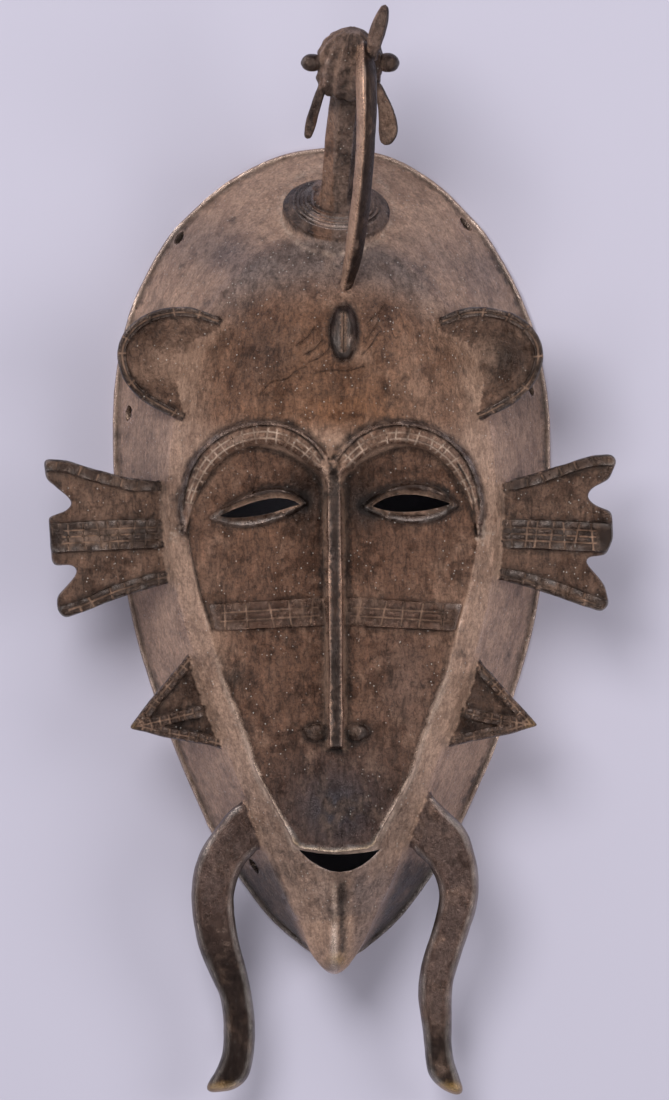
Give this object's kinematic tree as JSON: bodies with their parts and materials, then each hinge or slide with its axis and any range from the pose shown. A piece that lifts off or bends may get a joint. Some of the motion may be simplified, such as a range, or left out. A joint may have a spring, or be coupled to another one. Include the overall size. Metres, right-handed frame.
{
  "type": "cast bronze face mask",
  "caption": "Hollow cast bronze face mask with ears, pronged side fins, spikes, two curved legs beside the chin and a long-beaked bird's head on the crown.",
  "frame": {"origin": "centre of the mask's outline on the plane of its rim, which it lies on", "axes": "+Z out of the face, +Y towards the bird at the top of the head, +X to the right as the mask is looked at"},
  "size_m": [0.1836, 0.3494, 0.0816],
  "materials": {
    "bronze": "aged cast bronze, dark brown on raised places, pink-tan dust in hollows, bare golden edges"
  },
  "bodies": {
    "root": {"mask": "bronze"}
  },
  "joints": []
}
